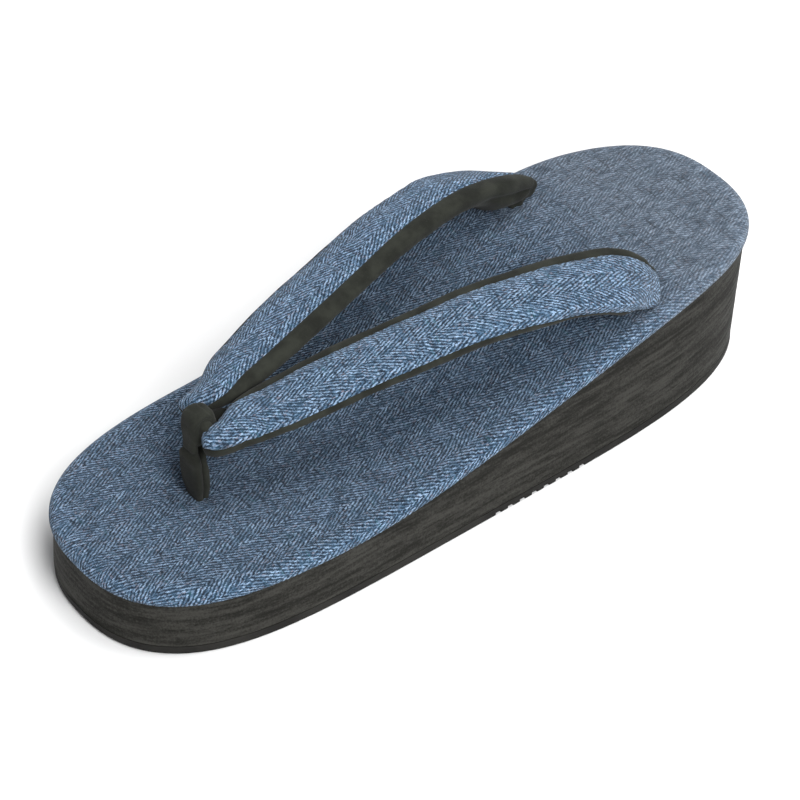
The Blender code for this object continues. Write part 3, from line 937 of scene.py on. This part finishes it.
# Strap cloth: the footbed's weave at a higher painted light level.
strap_cloth = herringbone_finish("strap_cloth", 0.0, 1.26)
for side, label in ((1, "right"), (-1, "left")):
    arm = stuffed(arm_piece("strap_arm_" + label, side, cloth_profile, pucker))
    dressed(arm, strap_cloth, "strap", "strap")

# Lining: thin black suede, sewn to the cloth along both edges to close each arm underneath.
# It shows as a dark edge beside the cloth. Behind, it is gathered into a neck that goes down
# into the sole and is fixed there.
LINING_STEPS = 36
LINING_OVERLAPS = (0.02, 0.04)
CREASE_DEPTH = 0.00018
CREASE_DEEPER = 0.0002
CREASE_FROM = 0.84
CREASE_OVER = 0.16
ROLLED_DEPTH = 0.0004
NECK_ROWS = 16
NECK_STEPS = 42
NECK_ACROSS = 0.0044
NECK_AT = 0.945
NECK_ALONG = 0.042
NECK_LIFT = 0.0020
NECK_FOOT = 0.3
NECK_SUNK = 0.0006
NECK_PLEATS = 7.0
PLEAT_DEPTH = 0.08
SUEDE_DARK = (0.0135, 0.0145, 0.0120)
SUEDE_BRUSHED = (0.0270, 0.0290, 0.0235)
SUEDE_FIBRES = (0.044, 0.045, 0.037)


def suede_finish(name, painted_shade_value=1.0):
    """Short matt nap, brushed lighter and darker in patches."""
    finish = Finish(name, 0.95, 0.06, 0.1)
    place = finish.here()
    nap = finish.cloud(place, 2600.0, 3.0, 0.7)
    brushed = finish.cloud(place, 130.0, 3.0, 0.6)
    colour = finish.blend(finish.ramp(brushed, 0.3, 0.7), SUEDE_DARK, SUEDE_BRUSHED)
    colour = finish.blend(finish.ramp(nap, 0.55, 0.8) * 0.4, colour, SUEDE_FIBRES)
    # A value below 1 here darkens all the suede as painted shade.
    colour = finish.node("ShaderNodeHueSaturation", None, {"Color": colour, "Value": painted_shade_value})
    first = finish.relief(brushed, 0.0004, 0.3)
    return finish.done(colour, finish.relief(nap, 0.00012, 0.7, first))


def lining_profile(share, side):
    """A thin shell from the seam on the inner edge, round underneath to the outer seam."""
    outer = []
    inner = []
    start = seams(share, side)[1] - LINING_OVERLAPS[0]
    end = 2 * math.pi + seams(share, side)[0] + LINING_OVERLAPS[1]
    for step in range(LINING_STEPS + 1):
        angle = start + (end - start) * step / LINING_STEPS
        outer.append((angle, 0.0))
        inner.append((angle, LINING_THICKNESS))
    return outer + inner[::-1]


def crumple(share, side, angle, length):
    """Soft creases, the rolled edges at the seams, and the fold at the rear."""
    crease = noise.noise(Vector((length * 150.0, angle * 1.5, side * 3.0)))
    outer, inner = seams(share, side)
    away = min(abs(angle - inner), abs(2 * math.pi + outer - angle) * 0.5)
    near_end = max(0.0, share - CREASE_FROM) / CREASE_OVER
    creased = crease * (CREASE_DEPTH + CREASE_DEEPER * near_end)
    return creased - rear_fold(share, angle) - ROLLED_DEPTH * math.exp(-away / SEAM_REACH)


def neck_piece(name, side):
    """Gathered suede from inside the rear hole up into the arm's underside."""
    build = bmesh.new()
    loops = []
    for step in range(NECK_ROWS + 1):
        share = step / NECK_ROWS
        climb = max(0.0, (share - NECK_FOOT) / (1.0 - NECK_FOOT))
        sunk = max(0.0, (NECK_FOOT - share) / NECK_FOOT)
        loop = []
        for index in range(NECK_STEPS):
            angle = 2 * math.pi * index / NECK_STEPS
            pleat = 1.0 + PLEAT_DEPTH * math.sin(angle * NECK_PLEATS + side + climb * 2.0)
            low = Vector((math.cos(angle), math.sin(angle), 0.0)) * ROOT_RADIUS * pleat
            foot = footbed_top(ROOT_Y) - NECK_SUNK - ROOT_DEPTH * sunk
            low += Vector((ROOT_X, ROOT_Y, foot))
            place = NECK_AT + NECK_ALONG * math.sin(angle)
            centre, _, outward, normal, _, _ = arm_frame(place, side)
            high = centre - normal * NECK_LIFT + outward * (NECK_ACROSS * pleat * math.cos(angle))
            point = low.lerp(high, climb ** 0.8)
            loop.append(build.verts.new((point.x * side, point.y, point.z)))
        loops.append(loop)
    closed_skin(build, loops)
    return finished_mesh(name, build)


lining_suede = suede_finish("lining_suede")
for side, label in ((1, "right"), (-1, "left")):
    lining = arm_piece("lining_" + label, side, lining_profile, crumple)
    dressed(lining, lining_suede, "lining", "strap_lining_" + label)
    neck = neck_piece("lining_neck_" + label, side)
    dressed(neck, lining_suede, "lining", "strap_lining_" + label)

# Toe thong: a soft band of the same suede, looped over the strap's core.
# Both its legs go down the front slot side by side and are knotted inside the sole.
LOOP_TOP = 0.0312
LOOP_DEPTH = 0.0094
LOOP_HEIGHT = 0.0122
LOOP_Y = THONG_Y - GAP / 2 - THONG_THICKNESS + LOOP_DEPTH / 2
THONG_BASE = footbed_top(THONG_Y)
CORE_Z = THONG_BASE + LOOP_TOP - LOOP_HEIGHT / 2
FRONT_LEG = (
    (0.00, *FRONT_FOOT),
    (0.07, 1.14, 1.22),
    (0.16, 1.27, 1.45),
    (0.30, 1.32, 1.50),
    (0.47, 1.22, 1.30),
    (0.57, 0.84, 1.10),
    (0.68, 0.82, 1.10),
)
REAR_LEG = (
    (0.45, 1.05, 1.00),
    (0.30, 1.20, 1.25),
    (0.15, 1.18, 1.25),
    (0.06, 1.05, 1.15),
    (0.00, *REAR_FOOT),
)
THONG_LOOP = (
    (180, 0.88), (155, 0.96), (130, 1.02), (105, 1.04), (80, 1.02), (55, 0.98),
    (30, 0.94), (5, 0.92), (-20, 0.92), (-45, 0.94), (-70, 0.96),
)
THONG_STEPS = 150
SLOPE_RUN = 0.0006
LEGS_PRESSED = 0.86
BAND_STEPS = 28
BAND_POWERS = (0.7, 0.75)
BAND_DENT = 0.00020
CREASE_AT = 0.555
CREASE_CUT = (0.00055, 0.0006)
CREASE_SWELL = (0.0024, 0.00045, 0.0014)


def leg_offset(thickness):
    """Distance of a leg's middle from the thong's, with the legs pressed together."""
    return THONG_THICKNESS * thickness / 2 * LEGS_PRESSED


def thong_path():
    """Rows of run, y, z, width and thickness, up the front leg, over and down the rear one."""
    rows = [(THONG_Y - leg_offset(FRONT_FOOT[1]), THONG_BASE - ROOT_DEPTH, *FRONT_FOOT)]
    for height, width, thickness in FRONT_LEG:
        y, z = THONG_Y - leg_offset(thickness), THONG_BASE + height * LOOP_TOP
        rows.append((y, z, width, thickness))
    for degrees, width in THONG_LOOP:
        angle = math.radians(degrees)
        rows.append((
            LOOP_Y + (LOOP_DEPTH - THONG_THICKNESS) / 2 * math.cos(angle),
            CORE_Z + (LOOP_HEIGHT - THONG_THICKNESS) / 2 * math.sin(angle),
            width,
            1.0,
        ))
    for height, width, thickness in REAR_LEG:
        y, z = THONG_Y + leg_offset(thickness), THONG_BASE + height * LOOP_TOP
        rows.append((y, z, width, thickness))
    rows.append((THONG_Y + leg_offset(REAR_FOOT[1]), THONG_BASE - ROOT_DEPTH, *REAR_FOOT))
    run = 0.0
    table = []
    for index, row in enumerate(rows):
        if index:
            run += math.dist(row[:2], rows[index - 1][:2])
        table.append((run, *row))
    return table


def squared(value, power):
    """A sine or cosine drawn toward its ends, for a section nearer to a box."""
    return math.copysign(abs(value) ** power, value)


def band_piece(name):
    """The thong's band along its path, with a crease across the front leg under the loop."""
    rows = thong_path()
    total = rows[-1][0]
    crease = ROOT_DEPTH + CREASE_AT * LOOP_TOP
    cut_depth, cut_spread = CREASE_CUT
    swell_below, swell_height, swell_spread = CREASE_SWELL
    build = bmesh.new()
    loops = []
    for step in range(THONG_STEPS + 1):
        run = total * step / THONG_STEPS
        y, z, width, thickness = follow(rows, run)
        ahead = follow(rows, min(run + SLOPE_RUN, total))
        behind = follow(rows, max(run - SLOPE_RUN, 0.0))
        way = Vector((0.0, ahead[0] - behind[0], ahead[1] - behind[1])).normalized()
        outward = Vector((0.0, -way.z, way.y))
        loop = []
        for index in range(BAND_STEPS):
            angle = 2 * math.pi * index / BAND_STEPS
            across = THONG_WIDTH * width / 2 * squared(math.cos(angle), BAND_POWERS[0])
            thick = THONG_THICKNESS * thickness / 2 * squared(math.sin(angle), BAND_POWERS[1])
            dent = noise.noise(Vector((across * 260.0, run * 260.0, thick * 300.0))) * BAND_DENT
            if thick > 0.0:
                dent -= cut_depth * bell(run - crease, cut_spread)
                dent += swell_height * bell(run - crease + swell_below, swell_spread)
            point = Vector((across, y, z)) + outward * (thick + dent)
            loop.append(build.verts.new(point))
        loops.append(loop)
    closed_skin(build, loops)
    return finished_mesh(name, build)


thong_suede = suede_finish("thong_suede")
thong = band_piece("thong_band")
dressed(thong, thong_suede, "thong", "toe_post")

# Core and packing: a short core of suede joins the two arms inside the thong's loop.
# Soft packing fills the loop round it, and a narrow web of darkened suede in the corner between
# the arms is a painted shadow.
PACKING = (0.0037, LOOP_DEPTH / 2 - GAP, LOOP_HEIGHT / 2 - GAP)
CORE = (0.0066, LOOP_DEPTH / 2 - THONG_THICKNESS, LOOP_HEIGHT / 2 - THONG_THICKNESS)
WEB = (0.0034, 0.0042, 0.0018)
WEB_BEHIND = 0.0068
WEB_BELOW = 0.0012


def rounded_block(name, middle, half, power):
    """Block with soft edges: a sphere pushed out toward its box."""
    build = bmesh.new()
    bmesh.ops.create_uvsphere(build, u_segments=48, v_segments=32, radius=1.0)
    for vert in build.verts:
        reach = sum(abs(value) ** power for value in vert.co) ** (1.0 / power)
        offset = Vector(value * size for value, size in zip(vert.co / reach, half))
        vert.co = Vector(middle) + offset
    return finished_mesh(name, build)


packing = rounded_block("thong_packing", (0.0, LOOP_Y, CORE_Z), PACKING, 4.0)
dressed(packing, thong_suede, "thong", "toe_post")
core = rounded_block("strap_core", (0.0, LOOP_Y, CORE_Z), CORE, 3.0)
dressed(core, lining_suede, "lining", "strap")
# The web's suede is darkened to a third of its value: painted shadow in the corner between the
# arms.
web = rounded_block("painted_shadow_web", (0.0, LOOP_Y + WEB_BEHIND, CORE_Z - WEB_BELOW), WEB, 2.0)
dressed(web, suede_finish("shaded_suede", 0.3), "lining", "strap")

# Floor and light: a pale studio table under one large soft light from the near side.
# A wide overhead light and the pale room fill the shadows.
FLOOR_SIZE = 6.0
PAPER_GREY = (0.86, 0.86, 0.86)
PAPER_PALE = (0.90, 0.90, 0.90)
ROOM_COLOUR = (0.95, 0.97, 1.0, 1.0)
ROOM_STRENGTH = 0.16
LIGHTS = (
    ("key", 80.0, 42.0, 1.6, 0.8, 25.0),
    ("top", 150.0, 70.0, 1.8, 1.2, 27.0),
    ("fill", -60.0, 40.0, 1.8, 1.4, 5.0),
)
build = bmesh.new()
bmesh.ops.create_grid(build, x_segments=1, y_segments=1, size=FLOOR_SIZE / 2)
floor = finished_mesh("floor", build)
floor_finish = Finish("floor_paper", 0.9)
floor_place = floor_finish.here()
floor_tone = floor_finish.cloud(floor_place, 3.0, 2.0)
floor_colour = floor_finish.blend(floor_tone, PAPER_GREY, PAPER_PALE)
floor.data.materials.append(floor_finish.done(floor_colour))

for name, azimuth, elevation, away, disk, power in LIGHTS:
    lamp = bpy.data.lights.new(name, "AREA")
    lamp.shape = "DISK"
    lamp.size = disk
    lamp.energy = power
    back = toward(math.radians(azimuth), math.radians(elevation))
    light = bpy.data.objects.new(name, lamp)
    light.location = back * away
    light.rotation_mode = "QUATERNION"
    light.rotation_quaternion = back.to_track_quat("Z", "Y")
    bpy.context.scene.collection.objects.link(light)

room = bpy.data.worlds.new("room")
room.use_nodes = True
background = room.node_tree.nodes["Background"]
background.inputs["Color"].default_value = ROOM_COLOUR
background.inputs["Strength"].default_value = ROOM_STRENGTH
bpy.context.scene.world = room
bpy.context.scene.view_settings.view_transform = "Standard"
